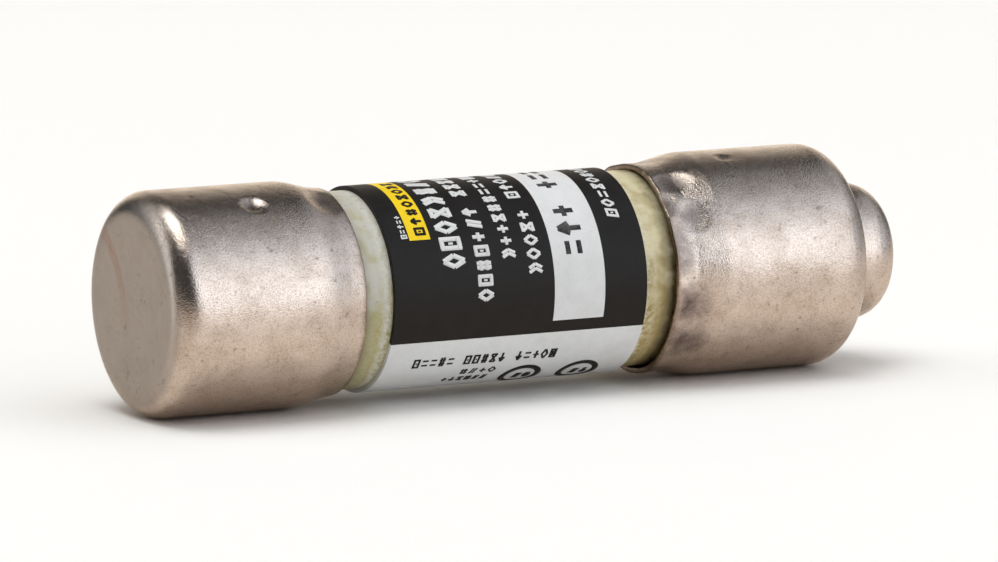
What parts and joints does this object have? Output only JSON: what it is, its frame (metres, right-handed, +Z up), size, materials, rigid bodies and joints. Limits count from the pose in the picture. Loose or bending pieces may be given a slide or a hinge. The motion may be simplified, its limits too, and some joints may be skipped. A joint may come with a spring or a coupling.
{
  "type": "cartridge fuse",
  "caption": "Small sand-filled cartridge fuse: insulating tube between two metal ferrules, one plain and one stepped down to a narrow rejection pip.",
  "frame": {"origin": "on the fuse axis, halfway between the plain end face and the end of the rejection pip", "axes": "+X along the fuse axis, from the plain end to the rejection pip; +Z up as the fuse lies; -Y towards the side with the label's print"},
  "size_m": [0.0382, 0.0104, 0.0104],
  "materials": {
    "nickel_plated_brass": "satin",
    "glass_melamine": "satin",
    "printed_film": "satin",
    "vulcanised_fibre": "matte",
    "copper_strip": "satin",
    "tin_alloy": "satin",
    "solder": "satin",
    "quartz_sand": "matte"
  },
  "bodies": {
    "root": {"plain_ferrule": "nickel_plated_brass", "rejection_ferrule": "nickel_plated_brass", "insulating_tube": "glass_melamine", "label": "printed_film", "plain_end_washer": "vulcanised_fibre", "rejection_end_washer": "vulcanised_fibre", "fuse_strip": "copper_strip", "alloy_spot": "tin_alloy", "plain_end_solder": "solder", "rejection_end_solder": "solder", "sand_filler": "quartz_sand"}
  },
  "joints": []
}
